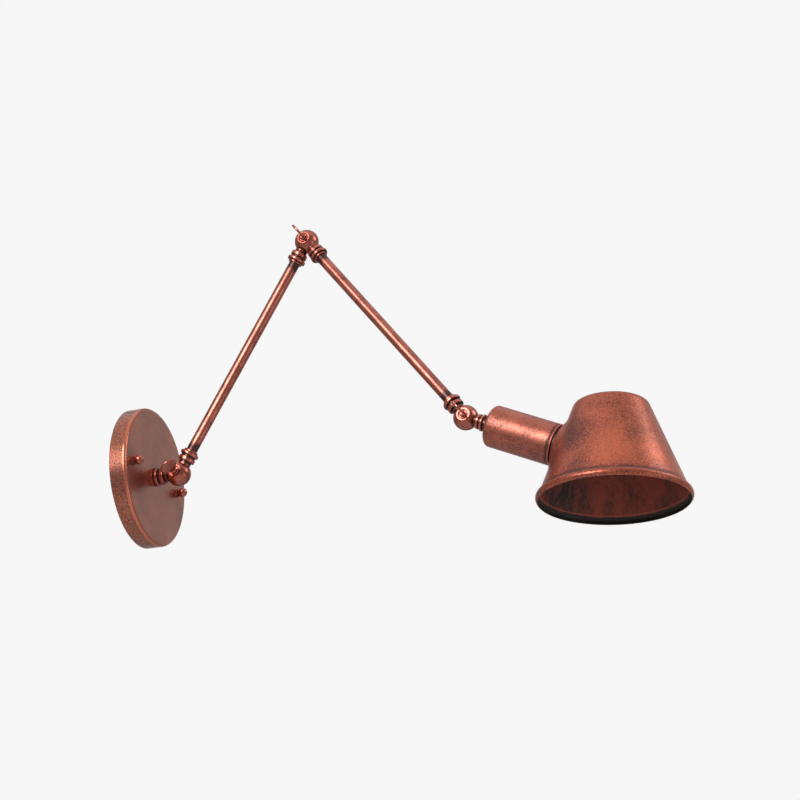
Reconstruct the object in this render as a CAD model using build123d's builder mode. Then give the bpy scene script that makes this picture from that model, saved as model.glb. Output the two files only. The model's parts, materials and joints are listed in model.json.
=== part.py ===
# Articulating wall lamp: a round canopy on the wall, two tube arms on ball knuckles, and a
# side-entry cone shade on a cylindrical lamp-holder cup.
#
# Frame: the origin is the centre of the canopy's back, on the wall. +X points out of the wall,
# +Z up. Every arm lies in the plane y = 0, and the knuckles hinge about lines along Y. The front
# of a knuckle, with its thumb screw, is on the -Y side. Sizes are in millimetres.

import os
from math import asin, atan, cos, degrees, radians, sin, sqrt, tan

from build123d import *

os.makedirs("parts", exist_ok=True)

# --- Pose of the arms, in degrees above the horizontal -----------------------------------------
arm_1_angle = 59.4
arm_2_angle = -53.65
head_angle = -25.35
shoulder_screw_turn = 39.0  # where the paddle of each thumb screw points when it is tight
elbow_screw_turn = -52.7
head_screw_turn = -47.0

# --- Canopy and what holds it on the wall ------------------------------------------------------
canopy_r = 60.0
canopy_depth = 15.0
canopy_wall = 1.2
canopy_edge_r = 2.8
bracket_length = 104.0
bracket_width = 18.0
bracket_thickness = 2.0
bracket_hole_r = 6.0
wall_screw_spacing = 60.0
wall_slot_length = 16.0
wall_slot_r = 2.4
stud_spacing = 87.2
stud_r = 2.0
stud_hole_r = 2.3
stud_reach = 4.2  # how far a stud stands out of the canopy's face
cap_nut_r = 4.1
cap_nut_flange_r = 3.7
cap_nut_flange_thickness = 1.4
cap_nut_rise = 4.6  # from the canopy's face to the ball's centre
earth_screw_offset = 13.6
earth_screw_r = 2.0
earth_screw_head_r = 3.3
earth_screw_head_height = 2.4

# --- Threaded pipes, which carry the wires through every joint of the lamp ---------------------
pipe_r = 3.7
pipe_bore_r = 2.7
pipe_socket_depth = 8.5
pipe_in_tube = 10.0
pipe_in_cup = 11.0
pipe_behind_nut = 2.0
thread_fit = 0.05  # radial, between every thread and what it screws into
locknut_flats = 12.0
locknut_thickness = 3.0
pipe_washer_r = 8.0
pipe_washer_thickness = 1.2

# --- Ball knuckles -----------------------------------------------------------------------------
ball_r = 10.55
ball_x = 36.0
ball_flat_height = 9.0  # from the hinge plane to the flat face round the screw
mating_gap = 0.8  # between the two half balls, filled by the friction washer
neck_r = 5.4
neck_length = 20.8  # from the ball's centre to the end of an arm's socket
neck_clearance = 0.5  # between a half ball and the other half's neck
ring_small_r = 7.3
ring_small_width = 4.0
ring_small_back = 6.6  # from the end of the socket to the middle of the ring
ring_large_r = 8.1
ring_large_width = 3.4
ring_large_back = 1.7
ring_groove_r = 6.3  # of the groove between the two rings
ring_edge_r = 1.25
wireway_r = 7.6
wireway_depth = 5.0
wire_bore_r = 2.6
pivot_boss_r = 4.1
friction_washer_r = 9.8
running_gap = 0.1

# --- Thumb screws ------------------------------------------------------------------------------
screw_r = 2.5
screw_hole_r = 2.8
screw_tip = 7.0  # past the hinge plane, into the tapped half
screw_tip_room = 0.5
screw_collar_r = 3.7
screw_collar_height = 2.1
counterbore_r = 4.4
counterbore_depth = 1.7
screw_stem_r = 2.7
paddle_r = 7.6
paddle_centre = 20.9  # from the hinge plane
paddle_root = 12.4
paddle_thickness = 2.0
paddle_edge_r = 0.8

# --- Arms --------------------------------------------------------------------------------------
arm_reach = 232.5  # between two ball centres
tube_r = 4.72
lock_ring_r = 6.2
lock_ring_width = 1.7
lock_ring_edge_r = 0.5

# --- Head: neck, cup and lamp holder -----------------------------------------------------------
head_neck_length = 23.0
head_bead_r = 6.4
head_bead_width = 2.8
head_bead_from_ball = 12.0
head_flange_r = 7.2
head_flange_width = 2.8
head_flange_from_ball = 15.9
cup_r = 17.5
cup_length = 60.6
cup_wall = 1.0
cup_back_r = 3.6  # rounding of the rear edge
holder_r = 13.8
holder_wall = 1.6
holder_cap_length = 13.0
holder_cap_neck_r = 6.6
holder_cap_neck_length = 5.0
holder_spigot_length = 4.0
holder_cavity_r = 10.5
holder_flange_r = 16.7
holder_flange_thickness = 1.2
holder_sleeve_r = 13.7
holder_sleeve_length = 11.5
holder_mouth_r = 10.9
holder_mouth_depth = 8.0
holder_web = 3.0
shell_r = 8.1
shell_wall = 0.9
shell_length = 16.0
shell_recess = 2.0  # from the step in the holder's mouth to the shell
contact_room_r = 7.0  # of the chamber behind the shell, where the contact springs
contact_room_depth = 6.2
contact_width = 5.0
contact_thickness = 0.6
contact_length = 11.0
contact_rise = 5.0
terminal_offset = 8.0
terminal_r = 1.2
terminal_depth = 2.4
terminal_head_r = 2.0
terminal_head_height = 1.6

# --- Shade -------------------------------------------------------------------------------------
shade_lean = 1.93  # of the shade's own axis, away from the wall
shade_wall = 1.0
shade_height = 81.9
shade_top_r = 29.6  # of the sharp corner that the rounding takes off
shade_top_corner_r = 5.6
shade_skirt_r = 58.8  # where the cone meets the flared lip
flare_height = 6.9
flare_r = 62.0  # widest line of the lip
flare_widest_height = 3.2
seat_height = 50.1  # up the cone, above the lip
seat_rise = 1.0  # of the pressed seat's face over the cone
seat_r = 21.4
seat_shoulder = 5.0  # depth of the seat's gentle shoulder
seat_depth = 14.0  # how far the seat's sides run into the cone
seat_long_slope = 60.0  # of the seat's sides up and down the cone, from the holder's axis
seat_side_slope = 28.0  # and across it
shade_ring_r = 18.0
shade_ring_flange = 1.6
shade_ring_grip_r = 16.2
shade_ring_width = 6.0
shade_ring_notches = 10
shade_ring_notch_r = 1.1
shade_hole_clearance = 0.3

# --- Places and planes -------------------------------------------------------------------------


def along(origin, angle, distance):
    """The point at a distance from origin, in the plane of the arms."""
    turn = radians(angle)
    return Vector(origin.X + distance * cos(turn), 0, origin.Z + distance * sin(turn))


def arm_plane(origin, angle):
    """The plane of the arms, with its x axis along a piece that leaves origin at an angle."""
    turn = radians(angle)
    return Plane(origin=origin, x_dir=(cos(turn), 0, sin(turn)), z_dir=(0, -1, 0))


def cross_plane(plane, distance):
    """The plane square to a piece's length, at a distance along it."""
    return Plane(origin=plane.origin + plane.x_dir * distance, x_dir=(0, 1, 0), z_dir=plane.x_dir)


def length_axis(plane):
    """The centre line of a piece."""
    return Axis(plane.origin, plane.x_dir)


def hinge_plane(centre, side):
    """A plane through a hinge line: x away from the line, y outwards on one side of the arms."""
    return Plane(origin=centre, x_dir=(1, 0, 0), z_dir=(0, 0, side))


def hinge_cross_plane(centre, side, height):
    """The plane square to a hinge line, at a height over the plane of the arms."""
    foot = centre + Vector(0, side * height, 0)
    return Plane(origin=foot, x_dir=(1, 0, 0), z_dir=(0, side, 0))


def hinge_line(centre):
    """The line a knuckle turns about."""
    return Axis(centre, (0, 1, 0))


front = -1
rear = 1
half_gap = mating_gap / 2
tube_bore_r = pipe_r + thread_fit
shoulder = Vector(ball_x, 0, 0)
elbow = along(shoulder, arm_1_angle, arm_reach)
wrist = along(elbow, arm_2_angle, arm_reach)
arm_1_plane = arm_plane(shoulder, arm_1_angle)
arm_2_plane = arm_plane(elbow, arm_2_angle)
head_plane = arm_plane(wrist, head_angle)
canopy_plane = arm_plane(Vector(0, 0, 0), 0)
wall_plane = Plane(origin=(0, 0, 0), x_dir=(0, 1, 0), z_dir=(1, 0, 0))

hub_length = ball_x - canopy_depth
cup_start = head_neck_length
cup_end = cup_start + cup_length
seat_face = cup_end + holder_flange_thickness
holder_end = seat_face + holder_sleeve_length
mouth_floor = holder_end - holder_mouth_depth
shell_end = mouth_floor - shell_recess
shell_start = shell_end - shell_length
contact_floor = shell_start - contact_room_depth
terminal_face = contact_floor - holder_web
holder_cap_start = cup_start + cup_wall + locknut_thickness
holder_cap_end = holder_cap_start + holder_cap_length

# --- Outlines shared by several pieces ---------------------------------------------------------


def write(part, label):
    """Names a finished piece and writes it to its own file."""
    part.label = label
    export_step(part, f"parts/{label}.step")


def draw_step(start, end, radius, mode=Mode.ADD):
    """Half outline of one step of a turned piece, between two places along its length."""
    with Locations(((start + end) / 2, 0)):
        Rectangle(end - start, radius, align=(Align.CENTER, Align.MIN), mode=mode)


def draw_can(length, radius, wall, corner_r, hole_r):
    """Half outline of a round can, open at x = 0 and rounded into its far end."""
    corner_x = length - corner_r
    corner_y = radius - corner_r
    Polyline(
        (length, corner_y),
        (length, hole_r),
        (length - wall, hole_r),
        (length - wall, corner_y),
    )
    CenterArc((corner_x, corner_y), corner_r - wall, 0, 90)
    Polyline((corner_x, radius - wall), (0, radius - wall), (0, radius), (corner_x, radius))
    CenterArc((corner_x, corner_y), corner_r, 0, 90)


def draw_ball_slice(radius, low, high):
    """Half outline of the slice of a ball between two heights over the plane of the arms."""
    low_turn = asin(low / radius)
    high_turn = asin(high / radius)
    middle_turn = (low_turn + high_turn) / 2
    foot = (radius * cos(low_turn), low)
    head = (radius * cos(high_turn), high)
    ThreePointArc(foot, (radius * cos(middle_turn), radius * sin(middle_turn)), head)
    closing = [(0, high), (0, low)]
    if head[0] > thread_fit:
        closing.insert(0, head)
    if foot[0] > thread_fit:
        closing.append(foot)
    Polyline(*closing)


def pipe(plane, start, end):
    """A hollow threaded pipe."""
    with BuildPart() as piece:
        with BuildSketch(cross_plane(plane, start)):
            Circle(pipe_r)
            Circle(pipe_bore_r, mode=Mode.SUBTRACT)
        extrude(amount=end - start)
    return piece.part


def locknut(plane, start):
    """A thin hexagon nut on a threaded pipe."""
    with BuildPart() as piece:
        with BuildSketch(cross_plane(plane, start)):
            RegularPolygon(locknut_flats / 2, 6, major_radius=False)
            Circle(tube_bore_r, mode=Mode.SUBTRACT)
        extrude(amount=locknut_thickness)
    return piece.part


# --- Wall side ---------------------------------------------------------------------------------

with BuildPart() as wall_canopy:
    with BuildSketch(canopy_plane):
        with BuildLine():
            draw_can(canopy_depth, canopy_r, canopy_wall, canopy_edge_r, tube_bore_r)
        make_face()
    revolve(axis=Axis.X)
    with BuildSketch(wall_plane.offset(canopy_depth)):
        with GridLocations(stud_spacing, 1, 2, 1):
            Circle(stud_hole_r)
    extrude(amount=-2 * canopy_wall, mode=Mode.SUBTRACT)
write(wall_canopy.part, "wall_canopy")

with BuildPart() as mounting_bracket:
    with BuildSketch(wall_plane):
        SlotOverall(bracket_length, bracket_width)
        Circle(bracket_hole_r, mode=Mode.SUBTRACT)
        with GridLocations(wall_screw_spacing, 1, 2, 1):
            SlotOverall(wall_slot_length, 2 * wall_slot_r, mode=Mode.SUBTRACT)
        with GridLocations(stud_spacing, 1, 2, 1):
            Circle(stud_r + thread_fit, mode=Mode.SUBTRACT)
        with Locations((-earth_screw_offset, 0)):
            Circle(earth_screw_r + thread_fit, mode=Mode.SUBTRACT)
    extrude(amount=bracket_thickness)
write(mounting_bracket.part, "mounting_bracket")

with BuildPart() as canopy_studs:
    with BuildSketch(wall_plane):
        with GridLocations(stud_spacing, 1, 2, 1):
            Circle(stud_r)
    extrude(amount=canopy_depth + stud_reach)
    chamfer(faces().group_by(Axis.X)[-1].edges(), stud_r / 5)
write(canopy_studs.part, "canopy_studs")

with BuildPart() as earth_screw:
    with BuildSketch(wall_plane):
        with Locations((-earth_screw_offset, 0)):
            Circle(earth_screw_r)
    extrude(amount=bracket_thickness)
    with BuildSketch(wall_plane.offset(bracket_thickness)):
        with Locations((-earth_screw_offset, 0)):
            Circle(earth_screw_head_r)
    extrude(amount=earth_screw_head_height)
    fillet(faces().group_by(Axis.X)[-1].edges(), earth_screw_head_height / 3)
    with BuildSketch(wall_plane.offset(bracket_thickness + earth_screw_head_height)):
        with Locations((-earth_screw_offset, 0)):
            Rectangle(2 * earth_screw_head_r, earth_screw_head_r / 4)
    extrude(amount=-earth_screw_head_height / 3, mode=Mode.SUBTRACT)
write(earth_screw.part, "earth_screw")


def draw_cap_nut():
    """Half outline of a ball nut with a blind thread, outwards from the canopy's face."""
    thread_r = stud_r + thread_fit
    thread_end = stud_reach + thread_fit
    ball_foot = cap_nut_rise - cap_nut_flange_thickness
    ball_foot_r = sqrt(cap_nut_r**2 - ball_foot**2)
    crown = cap_nut_rise + cap_nut_r
    Polyline(
        (crown, 0),
        (thread_end, 0),
        (thread_end, thread_r),
        (0, thread_r),
        (0, cap_nut_flange_r),
        (cap_nut_flange_thickness, cap_nut_flange_r),
        (cap_nut_flange_thickness, ball_foot_r),
    )
    ThreePointArc(
        (cap_nut_flange_thickness, ball_foot_r),
        (cap_nut_rise, cap_nut_r),
        (crown, 0),
    )


with BuildPart() as cap_nuts:
    for side in (front, rear):
        nut_foot = Vector(canopy_depth, side * stud_spacing / 2, 0)
        with BuildSketch(arm_plane(nut_foot, 0)):
            with BuildLine():
                draw_cap_nut()
            make_face()
        revolve(axis=Axis(nut_foot, (1, 0, 0)))
write(cap_nuts.part, "cap_nuts")

washer_start = canopy_depth - canopy_wall - pipe_washer_thickness
nut_start = washer_start - locknut_thickness
write(
    pipe(canopy_plane, nut_start - pipe_behind_nut, canopy_depth + pipe_socket_depth),
    "canopy_nipple",
)
write(locknut(canopy_plane, nut_start), "canopy_locknut")

with BuildPart() as canopy_washer:
    with BuildSketch(cross_plane(canopy_plane, washer_start)):
        Circle(pipe_washer_r)
        Circle(tube_bore_r, mode=Mode.SUBTRACT)
    extrude(amount=pipe_washer_thickness)
write(canopy_washer.part, "canopy_washer")

# --- Ball knuckles -----------------------------------------------------------------------------


def draw_neck(length, rings, groove_r):
    """Half outline of a neck with its turned rings, from the ball's centre to its end."""
    draw_step(0, length, neck_r)
    inner_ring, outer_ring = rings
    draw_step(inner_ring[0], outer_ring[0], groove_r)
    for middle, radius, width in rings:
        draw_step(middle - width / 2, middle + width / 2, radius)
    for middle, radius, width in rings:
        rim = vertices().filter_by(lambda corner: abs(corner.Y - radius) < thread_fit)
        fillet(rim, min(ring_edge_r, (radius - groove_r) * 0.9))


def wire_passages(centre, side, arm, length):
    """The room inside a half ball and its neck for the wires and the threaded pipe."""
    wire_start = wireway_r - wire_bore_r
    with BuildPart() as room:
        with BuildSketch(hinge_cross_plane(centre, side, half_gap)):
            Circle(wireway_r)
            Circle(pivot_boss_r, mode=Mode.SUBTRACT)
        extrude(amount=wireway_depth)
        with BuildSketch(cross_plane(arm, wire_start)):
            Circle(wire_bore_r)
        extrude(amount=length - wire_start)
        with BuildSketch(cross_plane(arm, length - pipe_socket_depth)):
            Circle(tube_bore_r)
        extrude(amount=pipe_socket_depth)
    return room.part


def screw_hole(centre, side):
    """A tapped blind hole for a rear half ball; a plain hole with a counterbore for a front one."""
    with BuildPart() as hole:
        with BuildSketch(hinge_cross_plane(centre, side, half_gap)):
            Circle(screw_r + thread_fit if side == rear else screw_hole_r)
        hole_depth = screw_tip + screw_tip_room if side == rear else ball_flat_height
        extrude(amount=hole_depth - half_gap)
        if side == front:
            with BuildSketch(hinge_cross_plane(centre, side, ball_flat_height - counterbore_depth)):
                Circle(counterbore_r)
            extrude(amount=counterbore_depth)
    return hole.part


def knuckle(centre, angle, side, length, rings, groove_r):
    """Half of a ball knuckle, on one side of the arms, with the neck that leaves it."""
    arm = arm_plane(centre, angle)
    cleared_r = ball_r + neck_clearance
    with BuildPart() as half:
        with BuildSketch(arm):
            draw_neck(length, rings, groove_r)
        revolve(axis=length_axis(arm))
        with BuildSketch(hinge_plane(centre, side)):
            with BuildLine():
                draw_ball_slice(cleared_r, -cleared_r, half_gap)
            make_face()
        revolve(axis=hinge_line(centre), mode=Mode.SUBTRACT)
        with BuildSketch(hinge_plane(centre, side)):
            with BuildLine():
                draw_ball_slice(ball_r, half_gap, ball_r if side == rear else ball_flat_height)
            make_face()
        revolve(axis=hinge_line(centre))
        add(wire_passages(centre, side, arm, length), mode=Mode.SUBTRACT)
        add(screw_hole(centre, side), mode=Mode.SUBTRACT)
    return half.part


def socket_rings(length):
    """The two turned rings of a socket, placed from its end."""
    return [
        (length - ring_small_back, ring_small_r, ring_small_width),
        (length - ring_large_back, ring_large_r, ring_large_width),
    ]


def friction_washer(centre):
    """The ring between two half balls: it rests on the rear one and runs against the front one."""
    with BuildPart() as ring:
        with BuildSketch(hinge_cross_plane(centre, rear, running_gap - half_gap)):
            Circle(friction_washer_r)
            Circle(wireway_r, mode=Mode.SUBTRACT)
        extrude(amount=mating_gap - running_gap)
    return ring.part


arm_rings = socket_rings(neck_length)
head_rings = [
    (head_bead_from_ball, head_bead_r, head_bead_width),
    (head_flange_from_ball, head_flange_r, head_flange_width),
]
write(
    knuckle(shoulder, 180, rear, hub_length, socket_rings(hub_length), ring_groove_r),
    "wall_knuckle",
)
for label, centre, angle, side in (
    ("arm_1_lower_knuckle", shoulder, arm_1_angle, front),
    ("arm_1_upper_knuckle", elbow, arm_1_angle + 180, rear),
    ("arm_2_upper_knuckle", elbow, arm_2_angle, front),
    ("arm_2_lower_knuckle", wrist, arm_2_angle + 180, rear),
):
    write(knuckle(centre, angle, side, neck_length, arm_rings, ring_groove_r), label)
write(
    knuckle(wrist, head_angle, front, head_neck_length, head_rings, neck_r),
    "head_knuckle",
)
write(friction_washer(shoulder), "shoulder_washer")
write(friction_washer(elbow), "elbow_washer")
write(friction_washer(wrist), "head_washer")

# --- Thumb screws ------------------------------------------------------------------------------

collar_start = ball_flat_height - counterbore_depth + running_gap
collar_end = collar_start + screw_collar_height


def thumb_screw(centre, turn):
    """A screw with a collar, a stem and a round paddle to turn it by."""
    across = (cos(radians(turn)), 0, sin(radians(turn)))
    flat = Plane(origin=centre, x_dir=across, z_dir=(across[2], 0, -across[0]))
    with BuildPart() as screw:
        with BuildSketch(flat):
            with Locations((0, paddle_centre)):
                Circle(paddle_r)
            with Locations((0, paddle_root)):
                Circle(screw_stem_r)
            make_hull()
        extrude(amount=paddle_thickness / 2, both=True)
        fillet(faces().filter_by(flat).edges(), paddle_edge_r)
        with BuildSketch(hinge_plane(centre, front)):
            with Locations((0, -screw_tip)):
                Rectangle(screw_r, screw_tip + collar_start, align=(Align.MIN, Align.MIN))
            with Locations((0, collar_start)):
                Rectangle(screw_collar_r, screw_collar_height, align=(Align.MIN, Align.MIN))
                Rectangle(screw_stem_r, paddle_root - collar_start, align=(Align.MIN, Align.MIN))
            rim = vertices().filter_by(lambda corner: corner.X > screw_stem_r + thread_fit)
            fillet(rim, screw_collar_height / 4)
            end = vertices().group_by(Axis.Y)[-1].sort_by(Axis.X)[-1]
            fillet(end, screw_stem_r / 2)
            tip = vertices().group_by(Axis.Y)[0].sort_by(Axis.X)[-1]
            chamfer(tip, screw_r / 5)
        revolve(axis=hinge_line(centre))
    return screw.part


write(thumb_screw(shoulder, shoulder_screw_turn), "shoulder_thumb_screw")
write(thumb_screw(elbow, elbow_screw_turn), "elbow_thumb_screw")
write(thumb_screw(wrist, head_screw_turn), "head_thumb_screw")

# --- Arms --------------------------------------------------------------------------------------

tube_end = arm_reach - neck_length


def arm_tube(plane):
    """The plain tube between an arm's two sockets."""
    with BuildPart() as tube:
        with BuildSketch(cross_plane(plane, neck_length)):
            Circle(tube_r)
            Circle(tube_bore_r, mode=Mode.SUBTRACT)
        extrude(amount=tube_end - neck_length)
    return tube.part


def arm_nipples(plane):
    """The threaded pipes that join a tube to its sockets."""
    with BuildPart() as pipes:
        add(pipe(plane, neck_length - pipe_socket_depth, neck_length + pipe_in_tube))
        add(pipe(plane, tube_end - pipe_in_tube, tube_end + pipe_socket_depth))
    return pipes.part


def arm_lock_rings(plane):
    """The thin rings round the tube's ends, against the sockets."""
    with BuildPart() as rings:
        for start in (neck_length, tube_end - lock_ring_width):
            with BuildSketch(cross_plane(plane, start)):
                Circle(lock_ring_r)
                Circle(tube_r + thread_fit, mode=Mode.SUBTRACT)
            extrude(amount=lock_ring_width)
        rims = edges().filter_by(GeomType.CIRCLE).filter_by(lambda rim: rim.radius > tube_r + 1)
        fillet(rims, lock_ring_edge_r)
    return rings.part


for number, plane in ((1, arm_1_plane), (2, arm_2_plane)):
    write(arm_tube(plane), f"arm_{number}_tube")
    write(arm_nipples(plane), f"arm_{number}_nipples")
    write(arm_lock_rings(plane), f"arm_{number}_lock_rings")

# --- Head: cup and lamp holder -----------------------------------------------------------------

cup_mouth = along(wrist, head_angle, cup_end)

with BuildPart() as holder_cup:
    with BuildSketch(arm_plane(cup_mouth, head_angle + 180)):
        with BuildLine():
            draw_can(cup_length, cup_r, cup_wall, cup_back_r, tube_bore_r)
        make_face()
    revolve(axis=length_axis(head_plane))
write(holder_cup.part, "holder_cup")

write(
    pipe(head_plane, head_neck_length - pipe_socket_depth, head_neck_length + pipe_in_cup),
    "head_nipple",
)
write(locknut(head_plane, cup_start + cup_wall), "cup_locknut")

with BuildPart() as holder_cap:
    cap_floor = holder_cap_start + holder_cap_neck_length
    with BuildSketch(head_plane):
        draw_step(holder_cap_start, cap_floor, holder_cap_neck_r)
        draw_step(cap_floor, holder_cap_end, holder_r)
        draw_step(cap_floor + holder_wall, holder_cap_end, holder_r - holder_wall, Mode.SUBTRACT)
        draw_step(holder_cap_start, holder_cap_end, tube_bore_r, Mode.SUBTRACT)
    revolve(axis=length_axis(head_plane))
write(holder_cap.part, "holder_cap")

with BuildPart() as holder_body:
    spigot_start = holder_cap_end - holder_spigot_length
    with BuildSketch(head_plane):
        draw_step(spigot_start, holder_cap_end, holder_r - holder_wall - thread_fit)
        draw_step(holder_cap_end, cup_end, holder_r)
        draw_step(cup_end, seat_face, holder_flange_r)
        draw_step(seat_face, holder_end, holder_sleeve_r)
        draw_step(mouth_floor, holder_end, holder_mouth_r, Mode.SUBTRACT)
        draw_step(shell_start, mouth_floor, shell_r + thread_fit, Mode.SUBTRACT)
        draw_step(contact_floor, shell_start, contact_room_r, Mode.SUBTRACT)
        draw_step(spigot_start, terminal_face, holder_cavity_r, Mode.SUBTRACT)
    revolve(axis=length_axis(head_plane))
    with BuildSketch(cross_plane(head_plane, terminal_face)):
        with GridLocations(2 * terminal_offset, 1, 2, 1):
            Circle(terminal_r + thread_fit)
    extrude(amount=terminal_depth, mode=Mode.SUBTRACT)
write(holder_body.part, "holder_body")

with BuildPart() as holder_thread_shell:
    with BuildSketch(cross_plane(head_plane, shell_start)):
        Circle(shell_r)
        Circle(shell_r - shell_wall, mode=Mode.SUBTRACT)
    extrude(amount=shell_length)
write(holder_thread_shell.part, "holder_thread_shell")

with BuildPart() as holder_contact:
    with BuildSketch(head_plane):
        with BuildLine() as strip:
            Polyline(
                (contact_floor + contact_thickness / 2, -contact_length / 2),
                (contact_floor + contact_thickness / 2, 0),
                (contact_floor + contact_rise, contact_length / 2),
            )
        trace(line_width=contact_thickness)
    extrude(amount=contact_width / 2, both=True)
write(holder_contact.part, "holder_contact")

with BuildPart() as holder_terminal_screws:
    with BuildSketch(cross_plane(head_plane, terminal_face)):
        with GridLocations(2 * terminal_offset, 1, 2, 1):
            Circle(terminal_r)
    extrude(amount=terminal_depth)
    with BuildSketch(cross_plane(head_plane, terminal_face)):
        with GridLocations(2 * terminal_offset, 1, 2, 1):
            Circle(terminal_head_r)
            Rectangle(2 * terminal_head_r, terminal_head_r / 4, mode=Mode.SUBTRACT)
    extrude(amount=-terminal_head_height)
write(holder_terminal_screws.part, "holder_terminal_screws")

# --- Shade -------------------------------------------------------------------------------------

cone_half_angle = atan((shade_skirt_r - shade_top_r) / (shade_height - flare_height))
cone_slope = tan(cone_half_angle)
flare_overhang = flare_r - shade_skirt_r
flare_round = (flare_overhang**2 + (flare_height - flare_widest_height) ** 2) / (2 * flare_overhang)
flare_centre_r = flare_r - flare_round


def cone_radius(height, inset):
    """Radius of the cone, or of its inside when inset is the wall, at a height over the lip."""
    return shade_skirt_r - inset / cos(cone_half_angle) - (height - flare_height) * cone_slope


lean = radians(shade_lean)
shade_out = Vector(cos(lean), 0, -sin(lean))
shade_up = Vector(sin(lean), 0, cos(lean))
seat_on_cone = along(wrist, head_angle, seat_face + seat_rise)
shade_foot = seat_on_cone + shade_out * cone_radius(seat_height, 0) - shade_up * seat_height
shade_plane = Plane(origin=shade_foot, x_dir=shade_out, z_dir=(0, -1, 0))


def crease_height(inset):
    """Height at which the cone meets the round of the flared lip."""
    reach = cone_radius(0, inset) - flare_centre_r
    square = cone_slope**2 + 1
    middle = cone_slope * reach + flare_widest_height
    rest = reach**2 + flare_widest_height**2 - (flare_round - inset) ** 2
    return (middle + sqrt(middle**2 - square * rest)) / square


def draw_cone(inset):
    """Half outline of the shade's outside, or of its inside when inset is the wall."""
    crease = crease_height(inset)
    top = shade_height - inset
    lip_turn = -asin(flare_widest_height / flare_round)
    reach = flare_round - inset
    lip_r = flare_centre_r + reach * cos(lip_turn)
    lip_height = flare_widest_height + reach * sin(lip_turn)
    ThreePointArc(
        (cone_radius(crease, inset), crease),
        (flare_r - inset, flare_widest_height),
        (lip_r, lip_height),
    )
    below = [(lip_r, -inset), (0, -inset)] if inset else [(0, 0)]
    Polyline(
        (lip_r, lip_height),
        *below,
        (0, top),
        (cone_radius(top, inset), top),
        (cone_radius(crease, inset), crease),
    )


def seat_ellipse(depth, inset):
    """Half axes of the seat, along and across the cone, at a depth behind its face."""
    long_turn = radians(seat_long_slope)
    side_turn = radians(seat_side_slope)
    long_depth = min(depth, seat_shoulder)
    long_r = seat_r + long_depth * tan(long_turn) - inset / cos(long_turn)
    side_r = seat_r + depth * tan(side_turn) - inset / cos(side_turn)
    return long_r, side_r


def shade_volume(inset):
    """The shade as a solid: its outside, or its inside when inset is the wall."""
    with BuildPart() as volume:
        with BuildSketch(shade_plane):
            with BuildLine():
                draw_cone(inset)
            make_face()
            rim = vertices().group_by(Axis.Y)[-1].sort_by(Axis.X)[-1]
            fillet(rim, shade_top_corner_r - inset)
        revolve(axis=Axis(shade_foot, shade_up))
        for depth in (inset, seat_shoulder, seat_depth):
            long_r, side_r = seat_ellipse(depth, inset)
            with BuildSketch(cross_plane(head_plane, seat_face + depth)):
                Ellipse(side_r, long_r)
        loft(ruled=True)
    return volume.part


with BuildPart() as shade:
    add(shade_volume(0))
    add(shade_volume(shade_wall), mode=Mode.SUBTRACT)
    with BuildSketch(cross_plane(head_plane, seat_face)):
        Circle(holder_sleeve_r + shade_hole_clearance)
    extrude(amount=2 * shade_wall, mode=Mode.SUBTRACT)
write(shade.part, "shade")

with BuildPart() as shade_ring:
    ring_start = seat_face + shade_wall
    with BuildSketch(cross_plane(head_plane, ring_start)):
        Circle(shade_ring_grip_r)
        Circle(holder_sleeve_r + thread_fit, mode=Mode.SUBTRACT)
        with PolarLocations(shade_ring_grip_r, shade_ring_notches):
            Circle(shade_ring_notch_r, mode=Mode.SUBTRACT)
    extrude(amount=shade_ring_width)
    with BuildSketch(cross_plane(head_plane, ring_start)):
        Circle(shade_ring_r)
        Circle(holder_sleeve_r + thread_fit, mode=Mode.SUBTRACT)
    extrude(amount=shade_ring_flange)
write(shade_ring.part, "shade_ring")
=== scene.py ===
# %% [markdown]
# # An articulating wall lamp in aged copper
#
# The lamp has a round canopy on the wall, two tube arms that fold on ball knuckles, and a cone
# shade that is fixed from its side to a cylindrical lamp-holder cup. Its solids come from the
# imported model. This notebook gives them their finishes, remakes the two pieces whose surfaces
# need softer forms than the solids have, and sets up the camera and a pale studio.

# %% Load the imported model
import json
from math import asin, atan, atan2, cos, degrees, pi, radians, sin, sqrt

import bmesh
import bpy
from mathutils import Matrix, Vector


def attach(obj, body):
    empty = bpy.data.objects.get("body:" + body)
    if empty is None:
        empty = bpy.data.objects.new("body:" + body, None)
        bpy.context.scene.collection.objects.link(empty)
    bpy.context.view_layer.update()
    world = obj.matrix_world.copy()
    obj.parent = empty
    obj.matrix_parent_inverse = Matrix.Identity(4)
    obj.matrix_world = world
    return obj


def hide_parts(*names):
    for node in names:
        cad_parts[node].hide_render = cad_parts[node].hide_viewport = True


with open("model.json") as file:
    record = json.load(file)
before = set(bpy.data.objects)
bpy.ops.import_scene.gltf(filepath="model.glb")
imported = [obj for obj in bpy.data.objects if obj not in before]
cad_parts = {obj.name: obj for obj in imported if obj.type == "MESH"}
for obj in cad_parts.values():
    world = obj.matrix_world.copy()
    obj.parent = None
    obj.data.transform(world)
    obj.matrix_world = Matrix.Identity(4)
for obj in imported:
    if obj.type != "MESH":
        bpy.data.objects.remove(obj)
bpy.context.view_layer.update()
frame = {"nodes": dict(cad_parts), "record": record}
nodes = frame["nodes"]
mm = 0.001

# %% [markdown]
# ## Camera
#
# The photograph looks up at the lamp from below its shade and from a little to the right of its
# side. The angles were found by fitting a camera to the outlines of the plate, the balls, the
# arms and the shade. The lens is long, so far and near parts differ little in size. A small
# shift places the lamp in the frame as the photograph does. The lens and the shifts are in
# pixels of a picture 800 wide.

# %% Camera's angles
view_azimuth = radians(18.1)
view_elevation = radians(-21.9)
view_roll = radians(-1.43)
view_distance = 1571 * mm
view_target = Vector((227.0, 0, 15.9)) * mm

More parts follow.
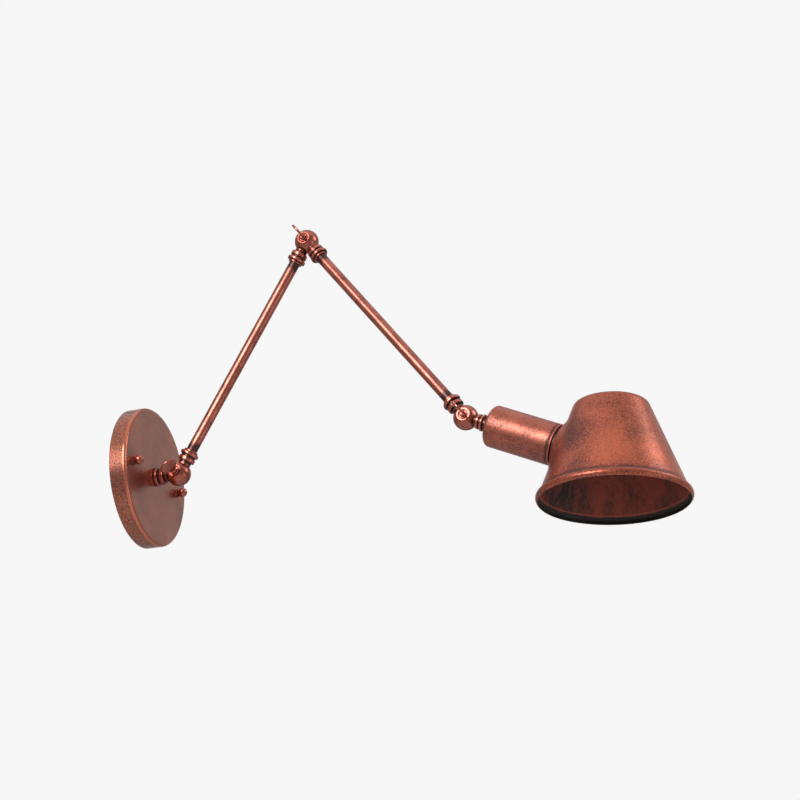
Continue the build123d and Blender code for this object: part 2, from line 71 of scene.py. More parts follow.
towards_camera = Vector(
    (
        sin(view_azimuth) * cos(view_elevation),
        -cos(view_azimuth) * cos(view_elevation),
        sin(view_elevation),
    )
)
level_right = Vector((cos(view_azimuth), sin(view_azimuth), 0))
level_up = towards_camera.cross(level_right)
rolled_right = level_right * cos(view_roll) + level_up * sin(view_roll)
rolled_up = level_up * cos(view_roll) - level_right * sin(view_roll)
print("towards the camera", [round(value, 3) for value in towards_camera])


# %% Camera
def into_scene(name, data):
    """A new object in the scene's own collection."""
    thing = bpy.data.objects.new(name, data)
    bpy.context.scene.collection.objects.link(thing)
    return thing


picture_width = 800
focal_length = 1897
shift_right = 9.7
shift_up = 25.4
film_width = 36
camera_data = bpy.data.cameras.new("camera")
camera_data.sensor_width = film_width
camera_data.lens = film_width * focal_length / picture_width
camera_data.shift_x = shift_right / picture_width
camera_data.shift_y = shift_up / picture_width
camera = into_scene("camera", camera_data)
view_turn = Matrix((rolled_right, rolled_up, towards_camera)).transposed().to_4x4()
view_place = Matrix.Translation(view_target + towards_camera * view_distance)
camera.matrix_world = view_place @ view_turn
bpy.context.scene.camera = camera
bpy.context.scene.view_settings.view_transform = "Standard"
print("camera at", [round(value, 3) for value in camera.location])

# %% [markdown]
# ## Shader nodes
#
# The room and the finishes are built from shader nodes. Clicking them together in the editor
# would do as well, but every finish of this lamp shares one recipe, so a few small helpers say
# it once: each adds one node and gives its inputs either a value or a link.


# %% Helpers for shader nodes
def add(tree, kind, inputs):
    """A new node. Inputs go by name or number, and each is given a value or a link."""
    node = tree.nodes.new(kind)
    for key, value in inputs.items():
        if isinstance(value, bpy.types.NodeSocket):
            tree.links.new(value, node.inputs[key])
        else:
            node.inputs[key].default_value = value
    return node


def calculate(tree, operation, first, second):
    """One sum on links or numbers."""
    node = add(tree, "ShaderNodeMath", {0: first, 1: second})
    node.operation = operation
    return node.outputs[0]


def on_vectors(tree, operation, first, second):
    """One sum on vectors."""
    node = add(tree, "ShaderNodeVectorMath", {0: first, 1: second})
    node.operation = operation
    return node.outputs


def spread(tree, value, start, end, low=0.0, high=1.0, easing="LINEAR"):
    """Maps start to end on to low to high, and holds the ends."""
    inputs = {"Value": value, "From Min": start, "From Max": end, "To Min": low, "To Max": high}
    node = add(tree, "ShaderNodeMapRange", inputs)
    node.interpolation_type = easing
    return node.outputs["Result"]


print("node helpers ready")


# %% Helpers for materials
def clear_material(name):
    """A new node material with nothing in it but its output."""
    material = bpy.data.materials.new(name)
    material.use_nodes = True
    material.node_tree.nodes.clear()
    material.node_tree.nodes.new("ShaderNodeOutputMaterial")
    return material


def surface(material, inputs):
    """Closes a material with one Principled surface."""
    tree = material.node_tree
    paint = add(tree, "ShaderNodeBsdfPrincipled", inputs)
    tree.links.new(paint.outputs[0], tree.nodes["Material Output"].inputs["Surface"])
    return material


print("material helpers ready")

# %% [markdown]
# ## Studio
#
# Polished copper shows what is round it, so the room matters as much as the metal. The lamp
# hangs in a pale room. A white world would light it flatly, so the camera sees the world white
# and the metal sees it dim, except for the white backdrop straight behind the lamp, which pales
# its edges. The floor is far below, out of the photograph's view.


# %% What is seen and what is mirrored
def shown_share(tree, mirrored):
    """1 for what the camera sees, a share for what metal mirrors, and 0 for plain light."""
    rays = add(tree, "ShaderNodeLightPath", {}).outputs
    seen = calculate(tree, "MAXIMUM", rays["Is Camera Ray"], rays["Is Transmission Ray"])
    in_metal = calculate(tree, "MULTIPLY", rays["Is Glossy Ray"], mirrored)
    return calculate(tree, "MAXIMUM", seen, in_metal)


print("ray helper ready")

# %% World
backdrop_white = (0.93, 0.93, 0.93, 1)
room_light = 0.29
backdrop_edge = cos(radians(24))
backdrop_middle = cos(radians(12))

world = bpy.data.worlds.new("pale_room")
bpy.context.scene.world = world
world.use_nodes = True
room = world.node_tree
room.nodes.clear()
ray_way = add(room, "ShaderNodeTexCoord", {}).outputs["Generated"]
away_from_camera = on_vectors(room, "DOT_PRODUCT", ray_way, -towards_camera)["Value"]
backdrop = spread(
    room, away_from_camera, backdrop_edge, backdrop_middle, easing="SMOOTHSTEP"
)
level = add(
    room,
    "ShaderNodeMix",
    {"Factor": shown_share(room, backdrop), "A": room_light, "B": 1.0},
)
background = add(
    room,
    "ShaderNodeBackground",
    {"Color": backdrop_white, "Strength": level.outputs["Result"]},
)
add(room, "ShaderNodeOutputWorld", {"Surface": background.outputs[0]})
print("room light:", room_light)

# %% Floor
floor_height = -0.95
floor_size = 30
floor_paleness = 0.42
floor_mirrored = 0.12

floor_mesh = bmesh.new()
bmesh.ops.create_grid(floor_mesh, x_segments=1, y_segments=1, size=floor_size)
bmesh.ops.translate(floor_mesh, verts=floor_mesh.verts, vec=(0, 0, floor_height))
floor_data = bpy.data.meshes.new("floor")
floor_mesh.to_mesh(floor_data)
floor_mesh.free()
floor = into_scene("floor", floor_data)
floor_finish = clear_material("pale_floor")
floor_shown = shown_share(floor_finish.node_tree, floor_mirrored)
surface(
    floor_finish,
    {
        "Base Color": (0.80, 0.80, 0.80, 1),
        "Roughness": 0.9,
        "Emission Color": (1, 1, 1, 1),
        "Emission Strength": calculate(
            floor_finish.node_tree, "MULTIPLY", floor_shown, floor_paleness
        ),
    },
)
floor.data.materials.append(floor_finish)
print("floor at", floor_height)

# %% [markdown]
# ## Soft lamps
#
# Five rectangular lamps stand round the wall lamp. The key lamp is in front, to the left and a
# little above: it draws the long bright lines on the cup, the first arm and the canopy's rim.
# The right lamp lights the balls, and the low right one lights the tubes' right sides. The lamp
# behind is what the canopy's face mirrors. A large overhead lamp fills the top of the shade.
# Each place was found by asking which way a highlight of the photograph must have come from.
# Small spot lamps would draw hard points on the copper, so all five are wide.

# %% Soft lamps
lamp_middle = Vector((0.24, 0, 0.03))


def soft_lamp(name, way, distance, width, depth, brightness):
    """A rectangular lamp, some way off, that looks at the middle of the wall lamp."""
    data = bpy.data.lights.new(name, "AREA")
    data.shape = "RECTANGLE"
    data.size = width
    data.size_y = depth
    data.energy = brightness * pi * width * depth
    lamp = into_scene(name, data)
    lamp.location = lamp_middle + Vector(way).normalized() * distance
    lamp.rotation_euler = Vector(way).to_track_quat("Z", "Y").to_euler()
    lamp.visible_camera = False
    print(name, "power", round(data.energy, 2))


soft_lamp("overhead", (0.0, -0.12, 1), 1.2, width=2.2, depth=1.8, brightness=0.44)
soft_lamp("key", (-0.25, -0.90, 0.27), 1.3, width=0.7, depth=0.7, brightness=7.6)
soft_lamp("right", (0.87, 0.14, 0.48), 1.3, width=0.6, depth=0.6, brightness=2.8)
soft_lamp("low_right", (0.93, -0.12, -0.30), 1.4, width=0.7, depth=0.6, brightness=0.9)
soft_lamp("behind", (0.29, 0.88, 0.37), 1.5, width=1.2, depth=1.2, brightness=0.24)

# %% [markdown]
# ## Aged copper
#
# The lamp is plated and then aged: bright copper shows through a dark brown patina in fine
# grains, and the grains crowd together in clouds. A painted image would show it too, but it
# would need a flattened copy of each piece and would stretch on the spun ones. Noise textures in
# the piece's own coordinates wrap every form alike. A fine noise gives the grains, and a coarse
# one moves their threshold. The clear lacquer on top is the shader's coat, which turns edges
# pale where they are seen at a low angle.


# %% Noise and colour ramp
def noise(tree, place, scale, detail, roughness=0.6, distortion=0.0):
    """A noise texture in the piece's own coordinates."""
    inputs = {
        "Vector": place,
        "Scale": scale,
        "Detail": detail,
        "Roughness": roughness,
        "Distortion": distortion,
    }
    return add(tree, "ShaderNodeTexNoise", inputs).outputs["Fac"]


def ramp(tree, value, stops):
    """A colour ramp with (position, colour) stops."""
    node = add(tree, "ShaderNodeValToRGB", {"Fac": value})
    elements = node.color_ramp.elements
    while len(elements) < len(stops):
        elements.new(0.5)
    for element, (position, colour) in zip(elements, stops):
        element.position = position
        element.color = (*colour, 1)
    return node.outputs["Color"]


def about_middle(tree, pattern, strength):
    """A pattern of 0 to 1 moved about 0 and made stronger or weaker."""
    return calculate(tree, "MULTIPLY", calculate(tree, "SUBTRACT", pattern, 0.5), strength)


print("pattern helpers ready")


# %% Places set one by one
def near_share(tree, away, reach):
    """1 at a place, falling to 0 at its reach."""
    fade = calculate(tree, "SUBTRACT", 1, calculate(tree, "DIVIDE", away, reach))
    return calculate(tree, "MAXIMUM", fade, 0)


def with_bands(tree, mask, own_axes, bands):
    """Brightens or darkens the plating in bands (axis, place, half width, amount)."""
    for axis, middle, half_width, amount in bands:
        offset = calculate(tree, "SUBTRACT", own_axes[axis], middle)
        share = near_share(tree, calculate(tree, "ABSOLUTE", offset, 0), half_width)
        mask = calculate(tree, "ADD", mask, calculate(tree, "MULTIPLY", share, amount))
    return mask


def with_spots(tree, mask, own_place, spots):
    """Brightens or darkens the plating in spots (x, y, z, radius, amount), in millimetres."""
    for x, y, z, radius, amount in spots:
        away = on_vectors(tree, "DISTANCE", own_place, Vector((x, y, z)) * mm)["Value"]
        share = near_share(tree, away, radius * mm)
        mask = calculate(tree, "ADD", mask, calculate(tree, "MULTIPLY", share, amount))
    return mask


print("band and spot helpers ready")


# %% The piece's own frame, and its calm side
def own_frame(tree, origin, turn):
    """The piece's coordinates from an origin, turned: as one vector and as three axes."""
    place = add(tree, "ShaderNodeTexCoord", {}).outputs["Object"]
    inputs = {"Vector": place, "Location": origin, "Rotation": turn}
    mapping = add(tree, "ShaderNodeMapping", inputs)
    mapping.vector_type = "TEXTURE"
    own_place = mapping.outputs["Vector"]
    return own_place, add(tree, "ShaderNodeSeparateXYZ", {0: own_place}).outputs


def calmed(tree, speckle, own_axes, calm):
    """Leaves only a share of the speckle past its end: calm is (axis, start, end, share)."""
    if not calm:
        return speckle
    axis, start, end, share = calm
    kept = spread(tree, own_axes[axis], start, end, 1, share)
    return calculate(tree, "MULTIPLY", speckle, kept)


print("frame helpers ready")

# %% From patina to copper
brown_patina = (0.085, 0.028, 0.022)
patina_until = 0.33
half_way = 0.13
copper_way = 0.30
rubbed_way = 0.62
rubbed_gain = 1.25
patina_dullness = 0.12
copper_gloss = 0.04


def copper_stops(low, copper, patina):
    """Stops of a ramp that starts at low: patina, halfway, copper and rubbed copper."""
    halfway_copper = [(bright + dark) / 2 for bright, dark in zip(copper, patina)]
    rubbed_copper = [value * rubbed_gain for value in copper]
    return [
        (low, patina),
        (low + half_way, halfway_copper),
        (low + copper_way, copper),
        (low + rubbed_way, rubbed_copper),
    ]


print("patina gives way to copper over", copper_way, "of the mask")


# %% Recipe for aged copper
def aged_copper(
    name,
    copper,
    grain,
    cloud,
    grain_contrast,
    patina_share,
    roughness,
    coat,
    coat_roughness=0.2,
    patina=brown_patina,
    cloud_strength=0.55,
    metallic=0.8,
    bump_height=0.05 * mm,
    origin=(0, 0, 0),
    turn=(0, 0, 0),
    stretch=(1, 1, 1),
    calm=None,
    bands=(),
    spots=(),
):
    """Copper plating under a grained dark patina and a satin lacquer.

    The mask is about 0.5: patina lies where it is low and copper where it is high. Origin and
    turn give the piece its own frame, in which its calm side, bands and spots are placed.
    """
    material = clear_material(name)
    tree = material.node_tree
    own_place, own_axes = own_frame(tree, origin, turn)
    stretched = on_vectors(tree, "MULTIPLY", own_place, stretch)["Vector"]
    grains = noise(tree, stretched, grain, detail=3, roughness=0.65)
    clouds = noise(tree, stretched, cloud, detail=3, roughness=0.55, distortion=0.6)
    speckle = calmed(tree, about_middle(tree, grains, grain_contrast), own_axes, calm)
    lift = about_middle(tree, clouds, cloud_strength)
    mask = calculate(tree, "ADD", calculate(tree, "ADD", speckle, 0.5), lift)
    mask = with_bands(tree, mask, own_axes, bands)
    mask = with_spots(tree, mask, own_place, spots)
    low = patina_until + (patina_share - 0.5) / 2
    dull, glossy = roughness + patina_dullness, roughness - copper_gloss
    bump_inputs = {"Strength": 0.25, "Distance": bump_height, "Height": grains}
    bump = add(tree, "ShaderNodeBump", bump_inputs)
    return surface(
        material,
        {
            "Base Color": ramp(tree, mask, copper_stops(low, copper, patina)),
            "Metallic": metallic,
            "Roughness": spread(tree, mask, low, low + copper_way, dull, glossy),
            "Normal": bump.outputs["Normal"],
            "Coat Weight": coat,
            "Coat Roughness": coat_roughness,
        },
    )


print("copper's recipe ready")

# %% [markdown]
# ## Plain finishes
#
# The pieces that hold the lamp together inside are zinc-plated steel, plain brass, fibre and
# moulded phenolic. They are hardly seen, and one even colour each would nearly do, but metal
# without any variation looks painted. So one noise varies the colour and the gloss a little.


# %% Recipe for plain finishes
def plain_finish(name, colour, metallic, roughness, contrast=0.25):
    """A plain finish whose colour and gloss vary a little."""
    material = clear_material(name)
    tree = material.node_tree
    place = add(tree, "ShaderNodeTexCoord", {}).outputs["Object"]
    grains = noise(tree, place, scale=300, detail=4)
    dark = [value * (1 - contrast) for value in colour]
    light = [value * (1 + contrast) for value in colour]
    gloss_swing = 0.12
    swing = calculate(tree, "MULTIPLY", grains, gloss_swing)
    return surface(
        material,
        {
            "Base Color": ramp(tree, grains, [(0.3, dark), (0.7, light)]),
            "Metallic": metallic,
            "Roughness": calculate(tree, "ADD", swing, roughness - gloss_swing / 2),
        },
    )


slot_finishes = {
    "zinc_steel": plain_finish("zinc_steel", (0.55, 0.55, 0.53), 1.0, 0.35),
    "plain_brass": plain_finish("plain_brass", (0.60, 0.42, 0.16), 1.0, 0.3),
    "friction_fibre": plain_finish("friction_fibre", (0.06, 0.035, 0.028), 0.0, 0.85),
    "black_phenolic": plain_finish(
        "black_phenolic", (0.022, 0.018, 0.016), 0.0, 0.38, contrast=0.15
    ),
}
own_finishes = {}
print("plain finishes:", len(slot_finishes))

# %% [markdown]
# ## Places on the lamp
#
# The dark grooves, the bright rings and the remade sheets have to sit on the solids to a
# fraction of a millimetre. Measuring them off the meshes would do, but the record already says
# where the three ball joints are, and every other place follows from them along an arm or the
# head.

# %% Arms and head
joint_places = {
    joint["name"]: Vector(joint["pos_m"]) for joint in frame["record"]["behaviour"]["joints"]
}
shoulder = joint_places["shoulder"]
elbow = joint_places["elbow"]
wrist = joint_places["head_tilt"]
arm_1_way = elbow - shoulder
arm_2_way = wrist - elbow
arm_1_turn = atan2(arm_1_way.z, arm_1_way.x)
arm_2_turn = atan2(arm_2_way.z, arm_2_way.x)
arm_reach = arm_1_way.length
head_turn = radians(-25.35)
head_way = Vector((cos(head_turn), 0, sin(head_turn)))
print("arm reach", round(arm_reach, 4), "head leaves", [round(value, 4) for value in wrist])

# %% Cup and seat, from the wrist along the head
cup_start = 23.0 * mm
cup_rim = 82.9 * mm
cup_r = 17.5 * mm
seat_face = 84.8 * mm
seat_centre = wrist + head_way * seat_face
print("seat centre", [round(value, 4) for value in seat_centre])

# %% Shade, from its foot up
shade_lean = radians(1.93)
shade_out = Vector((cos(shade_lean), 0, -sin(shade_lean)))
shade_up = Vector((sin(shade_lean), 0, cos(shade_lean)))
shade_height = 81.9 * mm
shade_top_r = 29.6 * mm
shade_top_corner_r = 5.6 * mm
skirt_r = 58.8 * mm
crease_height = 6.9 * mm
lip_r = 62.0 * mm
lip_widest_height = 3.2 * mm
seat_height = 50.1 * mm
seat_rise = 1.0 * mm
cone_slope = (skirt_r - shade_top_r) / (shade_height - crease_height)


def cone_line(height):
    """Radius of the cone at a height."""
    return skirt_r - (height - crease_height) * cone_slope


seat_on_cone = wrist + head_way * (seat_face + seat_rise)
shade_foot = seat_on_cone + shade_out * cone_line(seat_height) - shade_up * seat_height
shade_frame = {"origin": shade_foot, "turn": (0, shade_lean, 0)}
print("shade foot", [round(value, 4) for value in shade_foot])

# %% [markdown]
# ## Finish of the shade's outside
#
# The outside is the brightest copper of the lamp, with a coarse grain and soft clouds. The crease
# above the lip has kept its patina, and the lip is a little brighter, a painted highlight. Noise
# alone would put the clouds anywhere, so four darker places and one brighter one are set where
# they stand: the first darker one, beside the seat, is a painted reflection of the cup, and the
# others darken or brighten the plating in their places.

# %% Shade's copper
own_finishes["shade"] = aged_copper(
    "aged_copper_shade",
    **shade_frame,
    copper=(0.64, 0.155, 0.080),
    patina=(0.135, 0.040, 0.032),
    grain=1250,
    grain_contrast=1.6,
    cloud=24,
    cloud_strength=0.62,
    patina_share=0.455,
    roughness=0.39,
    coat=0.3,
    coat_roughness=0.3,
    # The crease band is patina; the lip band is a painted highlight.
    bands=[("Z", crease_height + 1.2 * mm, 2.2 * mm, -0.22), ("Z", 3.5 * mm, 5 * mm, 0.04)],
    # The first spot is a painted reflection of the cup beside the seat.
    spots=[
        (-24, -39, 42, 22, -0.15),
        (27, -36, 41, 14, -0.12),
        (8, -52, 24, 20, 0.15),
        (-20, -50, 12, 15, -0.13),
        (36, -42, 14, 13, -0.09),
    ],
)
print("shade's outside:", own_finishes["shade"].name)

# %% [markdown]
# ## Finish of the shade's inside
#
# Inside, the copper is dull, and it is painted darker than outside, partly as painted shade. Its
# stains run from the top down to the mouth, where the rolled lip is painted nearly black, as
# painted shade, with a thin painted highlight above it. Stretching the pattern along the shade's
# height, so that it changes slowly that way, turns the clouds into such stains.

# %% Inside's copper
inside_copper = aged_copper(
    "aged_copper_inside",
    **shade_frame,
    copper=(0.34, 0.062, 0.036),
    patina=(0.040, 0.034, 0.029),
    grain=700,
    grain_contrast=0.6,
    cloud=75,
    cloud_strength=0.7,
    patina_share=0.40,
    metallic=0.2,
    roughness=0.62,
    coat=0.0,
    stretch=(1, 1, 0.16),
    # The band at the mouth is painted shade on the rolled lip; the thin band above it is a
    # painted highlight.
    bands=[("Z", 0, 6.4 * mm, -1.8), ("Z", 6.8 * mm, 0.5 * mm, 0.5)],
    spots=[(-46, 22, 14, 36, -0.26)],
)
print("shade's inside:", inside_copper.name)

# %% [markdown]
# ## Finish of the cup
#
# The cup has the same plating with a finer grain and more lacquer, which gives it one broad
# bright stripe. The rolled bead at its open end is painted bright, a painted highlight, and the
# groove behind the bead is painted dark, as painted shade. Both are rings about the cup's axis,
# so bands along it place them.

# %% Cup's copper
cup_bead_width = 1.3 * mm
cup_groove_width = 2.4 * mm
own_finishes["holder_cup"] = aged_copper(
    "aged_copper_cup",
    origin=wrist,
    turn=(0, -head_turn, 0),
    copper=(0.58, 0.145, 0.082),
    grain=900,
    grain_contrast=0.95,
    cloud=34,
    patina_share=0.46,
    roughness=0.42,
    coat=0.7,
    coat_roughness=0.36,
    bump_height=0.02 * mm,
    # The groove band is painted shade; the bead band is a painted highlight.
    bands=[
        ("X", cup_rim - cup_groove_width, cup_groove_width, -0.2),
        ("X", cup_rim, cup_bead_width, 1.0),
    ],
)
print("cup:", own_finishes["holder_cup"].name)

# %% [markdown]
# ## Finish of the canopy
#
# The canopy's rim has a strong dark grain, but its face was brushed and is almost even, and the
# edge between them is painted bright, a painted highlight. One material does for all three: the
# grain calms as it passes the edge, and a band paints the highlight on the edge itself.

# %% Canopy's copper
canopy_edge = 13.6 * mm
own_finishes["wall_canopy"] = aged_copper(
    "aged_copper_canopy",
    copper=(0.56, 0.155, 0.085),
    patina=(0.120, 0.060, 0.048),
    grain=950,
    grain_contrast=1.9,
    cloud=30,
    cloud_strength=0.3,
    patina_share=0.52,
    roughness=0.26,
    coat=0.45,
    calm=("X", 13.2 * mm, 14.8 * mm, 0.22),
    # The band is a painted highlight along the edge.
    bands=[("X", canopy_edge, 1.4 * mm, 0.8)],
)
print("canopy:", own_finishes["wall_canopy"].name)

# %% [markdown]
# ## Finish of the turned pieces and the knuckles
#
# Turned brass takes the plating smoothly, so these pieces are glossier and nearly without grain.
# On the knuckles the grooves between the rings are painted dark, for patina and painted shade,
# and their crests are painted bright, for rubbed copper and a painted highlight. That contrast
# could come from a pointiness node, but it would need a dense mesh, and the rings stand at known
# distances from each ball, so bands along each neck place it exactly.

# %% Turned copper
bright_copper = (0.64, 0.165, 0.11)
turned_look = {
    "copper": bright_copper,
    "grain": 1100,
    "grain_contrast": 0.3,
    "cloud": 120,
    "cloud_strength": 0.4,
    "patina_share": 0.44,
    "metallic": 0.9,
    "roughness": 0.25,
    "coat": 0.5,
    "coat_roughness": 0.16,
    "bump_height": 0.003 * mm,
}
slot_finishes["aged_copper_turned"] = aged_copper("aged_copper_turned", **turned_look)
print("turned pieces:", slot_finishes["aged_copper_turned"].name)

# %% Knuckles' copper
# Crests: rubbed copper and a painted highlight. Grooves: patina and painted shade.
crest_half_width = 1.5 * mm
crest_rub_and_highlight = 0.18
groove_half_width = 1.4 * mm
groove_patina_and_shade = -0.62


def ringed_copper(label, centre, angle, crests, grooves):
    """Turned copper for a knuckle, with its crests and grooves in millimetres from the ball."""
    bands = [("X", crest * mm, crest_half_width, crest_rub_and_highlight) for crest in crests]
    bands += [("X", groove * mm, groove_half_width, groove_patina_and_shade) for groove in grooves]
    return aged_copper(
        f"aged_copper_{label}",
        origin=centre,
        turn=(0, -angle, 0),
        bands=bands,
        **turned_look,
    )


socket_end = 20.8
hub_end = 21.0
crests_from_end = (-6.6, -1.7)
grooves_from_end = (-9.4, -4.1, 0.6)
knuckle_places = {
    "wall_knuckle": (shoulder, pi, hub_end),
    "arm_1_lower_knuckle": (shoulder, arm_1_turn, socket_end),
    "arm_1_upper_knuckle": (elbow, arm_1_turn + pi, socket_end),
    "arm_2_upper_knuckle": (elbow, arm_2_turn, socket_end),
    "arm_2_lower_knuckle": (wrist, arm_2_turn + pi, socket_end),
}
for label, (centre, angle, end) in knuckle_places.items():
    crests = [end + offset for offset in crests_from_end]
    grooves = [end + offset for offset in grooves_from_end]
    own_finishes[label] = ringed_copper(label, centre, angle, crests, grooves)
own_finishes["head_knuckle"] = ringed_copper(
    "head_knuckle", wrist, head_turn, crests=(12.0, 15.9), grooves=(9.8, 14.0, 18.0)
)
print("knuckles:", len(knuckle_places) + 1)

# %% [markdown]
# ## Finish of the screws and the arms
#
# The thumb screws are handled, so they are the glossiest. The tubes have a soft long highlight
# and are painted darker where they enter their sockets. The dark ends lie along each tube's own
# length, so each tube's finish has its own frame.

# %% Screws' copper
slot_finishes["aged_copper_screw"] = aged_copper(
    "aged_copper_screw",
    copper=bright_copper,
    grain=1100,
    grain_contrast=0.4,
    cloud=120,
    patina_share=0.44,
    metallic=0.9,
    roughness=0.22,
    coat=0.5,
    coat_roughness=0.14,
    bump_height=0.003 * mm,
)
print("screws:", slot_finishes["aged_copper_screw"].name)

# %% Arms' copper
socket_mouth = 24 * mm
dark_end_length = 8 * mm


def arm_copper(name, centre, angle):
    """Copper for an arm tube, darker where it enters its sockets."""
    ends = (socket_mouth, arm_reach - socket_mouth)
    return aged_copper(
        name,
        origin=centre,
        turn=(0, -angle, 0),
        copper=(0.66, 0.185, 0.125),
        grain=800,
        grain_contrast=0.4,
        cloud=90,
        patina_share=0.45,
        metallic=0.9,
        roughness=0.3,
        coat=0.5,
        bump_height=0.004 * mm,
        bands=[("X", end, dark_end_length, -0.4) for end in ends],
    )


own_finishes["arm_1_tube"] = arm_copper("aged_copper_arm_1", shoulder, arm_1_turn)
own_finishes["arm_2_tube"] = arm_copper("aged_copper_arm_2", elbow, arm_2_turn)
print("arms:", own_finishes["arm_1_tube"].name, own_finishes["arm_2_tube"].name)

# %% Finishes on the solids
for entry in frame["record"]["subparts"]:
    piece = nodes[entry["node"]]
    finish = own_finishes.get(entry["node"]) or slot_finishes[entry["material_slot"]]
    piece.data.materials.clear()
    piece.data.materials.append(finish)
print("finishes:", len(slot_finishes) + len(own_finishes), "on", len(nodes), "pieces")

# %% [markdown]
# ## Shade
#
# The real shade is one spun sheet: a closed top with a rounded corner, a straight cone, and a lip
# that rolls outwards. Its side is then pressed flat where the lamp holder's ring clamps it, and
# the sheet flows softly from that flat into the cone. Spinning the outline gives the sheet. The
# seat is pressed by sliding its vertices along the holder's axis on to a plane, less and less
# with their distance from the middle, which keeps the sheet free of creases. A Solidify modifier
# then gives the wall and puts the inside's finish on it, whose darkness is partly painted shade.


# %% Outlines and turned sheets
def arc(centre, radius, start, end, count):
    """Points of an arc in an outline, as (radius, height), with angles in degrees."""
    turns = [radians(start + (end - start) * step / count) for step in range(count + 1)]
    return [(centre[0] + radius * cos(turn), centre[1] + radius * sin(turn)) for turn in turns]


def line(start, end, count):
    """Points between two ends of an outline, without the ends."""
    shares = [step / count for step in range(1, count)]
    return [tuple(a + (b - a) * share for a, b in zip(start, end)) for share in shares]


def turned(outline, centre, out, up, steps):
    """Spins an outline of (radius, height) points about an axis."""
    shape = bmesh.new()
    corners = [shape.verts.new(centre + out * radius + up * height) for radius, height in outline]
    runs = [shape.edges.new(pair) for pair in zip(corners, corners[1:])]
    bmesh.ops.spin(
        shape,
        geom=corners + runs,
        cent=centre,
        axis=up,
        dvec=(0, 0, 0),
        angle=2 * pi,
        steps=steps,
        use_merge=True,
        use_normal_flip=False,
        use_duplicate=False,
    )
    bmesh.ops.remove_doubles(shape, verts=shape.verts, dist=0.001 * mm)
    bmesh.ops.recalc_face_normals(shape, faces=shape.faces)
    print("turned sheet with", len(shape.faces), "faces")
    return shape


# %% Finished pieces
def finished(shape, name, body, finishes, replaced):
    """A smooth piece from a shape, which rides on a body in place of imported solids."""
    mesh = bpy.data.meshes.new(name)
    shape.to_mesh(mesh)
    shape.free()
    mesh.shade_smooth()
    for finish in finishes:
        mesh.materials.append(finish)
    piece = into_scene(name, mesh)
    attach(piece, body)
    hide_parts(*replaced)
    print(name, "faces", len(mesh.polygons))
    return piece


def give_wall(piece, thickness):
    """Gives a sheet its thickness, inwards."""
    wall = piece.modifiers.new("wall", "SOLIDIFY")
    wall.thickness = thickness
    wall.offset = -1
    print(piece.name, "wall", round(thickness / mm, 2), "mm")
    return wall


# %% Shade's lip and top corner
lip_overhang = lip_r - skirt_r
lip_rise = crease_height - lip_widest_height
lip_round = (lip_overhang**2 + lip_rise**2) / (2 * lip_overhang)
lip_centre = (lip_r - lip_round, lip_widest_height)
lip_end = -degrees(asin(lip_widest_height / lip_round))
cone_turn = atan(cone_slope)
corner_height = shade_height - shade_top_corner_r
corner_r = cone_line(corner_height) - shade_top_corner_r / cos(cone_turn)
print("lip round", round(lip_round / mm, 2), "top corner at", round(corner_r / mm, 2))

# %% Crease between the cone and the lip
crease_r = 1.3 * mm
crease_tries = 40


def crease_centre():
    """Centre of the small round between the cone and the lip: outside both of them."""
    height = crease_height
    for _ in range(crease_tries):
        radius = cone_line(height) + crease_r / cos(cone_turn)
        gap = sqrt((radius - lip_centre[0]) ** 2 + (height - lip_centre[1]) ** 2)
        height += lip_round + crease_r - gap
    return radius, height


crease = crease_centre()
lip_offset = (crease[0] - lip_centre[0], crease[1] - lip_centre[1])
to_lip = degrees(atan2(-lip_offset[1], -lip_offset[0]))
from_lip = degrees(atan2(lip_offset[1], lip_offset[0]))
print("crease", [round(value / mm, 2) for value in crease])

# %% Shade's outline
cone_lean = degrees(cone_turn)
top_corner = arc((corner_r, corner_height), shade_top_corner_r, 90, cone_lean, count=10)
foot_round = arc(crease, crease_r, 180 + cone_lean, 360 + to_lip, count=6)
lip_arc = arc(lip_centre, lip_round, from_lip, lip_end, count=18)
top_centre = (0, shade_height)
outline = [top_centre]
outline += line(top_centre, top_corner[0], count=12)
outline += top_corner
outline += line(top_corner[-1], foot_round[0], count=52)
outline += foot_round
outline += lip_arc[1:]
shade_sheet = turned(outline, shade_foot, shade_out, shade_up, steps=240)
print("outline points", len(outline))

# %% Seat's measures
seat_r = 16.5 * mm
side_shoulder = 11 * mm
top_shoulder = 4 * mm
foot_shoulder = 15 * mm
seat_reach = 40 * mm


def smooth_step(value):
    """A soft ramp from 0 to 1."""
    share = min(max(value, 0), 1)
    return share * share * (3 - 2 * share)


def from_seat(point):
    """Depth behind the seat's plane and the way across it, from the holder's axis."""
    offset = point - seat_centre
    depth = offset.dot(head_way)
    return depth, offset - head_way * depth


def cone_share(across):
    """0 on the seat's flat, rising softly to 1 past its shoulder, which is longest below."""
    sideways = min(abs(across.y) / max(across.length, mm), 1)
    along = top_shoulder if across.z > 0 else foot_shoulder
    reach = sqrt((side_shoulder * sideways) ** 2 + along**2 * (1 - sideways**2))
    return smooth_step((across.length - seat_r) / reach)


print("seat radius", round(seat_r / mm, 1), "mm")

# %% Pressed seat
pressed = 0
for corner in shade_sheet.verts:
    depth, across = from_seat(corner.co)
    if depth < seat_reach and across.length < seat_reach:
        corner.co -= head_way * depth * (1 - cone_share(across))
        pressed += 1
print("seat corners moved", pressed)

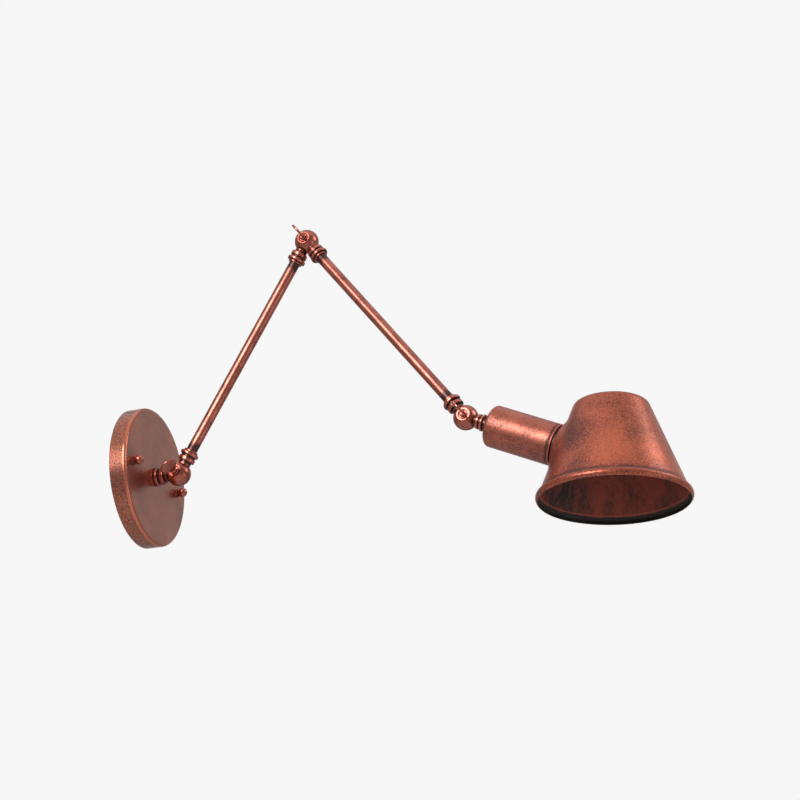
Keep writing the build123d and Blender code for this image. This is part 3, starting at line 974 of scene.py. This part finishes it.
# %% Hole for the lamp holder
hole_r = 14.0 * mm
hole_margin = 4 * mm
seat_depth = 5 * mm
pierced = []
for face in shade_sheet.faces:
    depth, across = from_seat(face.calc_center_median())
    if depth < seat_depth and across.length < hole_r:
        pierced.append(face)
print("faces cut for the hole", len(pierced))
bmesh.ops.delete(shade_sheet, geom=pierced, context="FACES")
for corner in [corner for corner in shade_sheet.verts if corner.is_boundary]:
    depth, across = from_seat(corner.co)
    if depth < seat_depth and across.length < hole_r + hole_margin:
        corner.co = seat_centre + across.normalized() * hole_r

# %% Shade's piece
shade_piece = finished(
    shade_sheet,
    "shade_sheet",
    "head",
    [own_finishes["shade"], inside_copper],
    ["shade"],
)
shade_wall = give_wall(shade_piece, 1.0 * mm)
shade_wall.use_even_offset = True
shade_wall.material_offset = 1
shade_wall.material_offset_rim = 1

# %% [markdown]
# ## Holder cup
#
# The cup is spun too. Its rear edge is rounded and its open end has a groove and a small rolled
# bead, which catches the light as a bright line. Cutting the groove and adding a ring to a
# cylinder would take two more pieces, while the outline holds them all. The cup stops a little
# short of the shade, so a dark gap shows where the holder's flange sits.

# %% Cup's outline
cup_back_r = 3.6 * mm
cup_hole_r = 5.0 * mm
bead_r = 0.75 * mm
bead_middle = cup_rim - bead_r
bead_sunk = 0.55 * mm
groove_depth = 0.35 * mm
groove_middle = bead_middle - 1.15 * mm
groove_edge = (cup_r, groove_middle - 0.5 * mm)
back_centre = (cup_r - cup_back_r, cup_start + cup_back_r)
back_round = arc(back_centre, cup_back_r, -90, 0, count=8)
cup_line = [(cup_hole_r, cup_start)]
cup_line += line(cup_line[0], back_round[0], count=6)
cup_line += back_round
cup_line += line(back_round[-1], groove_edge, count=30)
cup_line += [groove_edge, (cup_r - groove_depth, groove_middle)]
cup_line += arc((cup_r - bead_sunk, bead_middle), bead_r, -70, 90, count=10)
print("cup outline points", len(cup_line))

# %% Cup's piece
cup_out = Vector((0, -1, 0))
cup_sheet = turned(cup_line, wrist, cup_out, head_way, steps=160)
cup_piece = finished(
    cup_sheet,
    "cup_sheet",
    "head",
    [own_finishes["holder_cup"]],
    ["holder_cup"],
)
give_wall(cup_piece, 0.9 * mm)
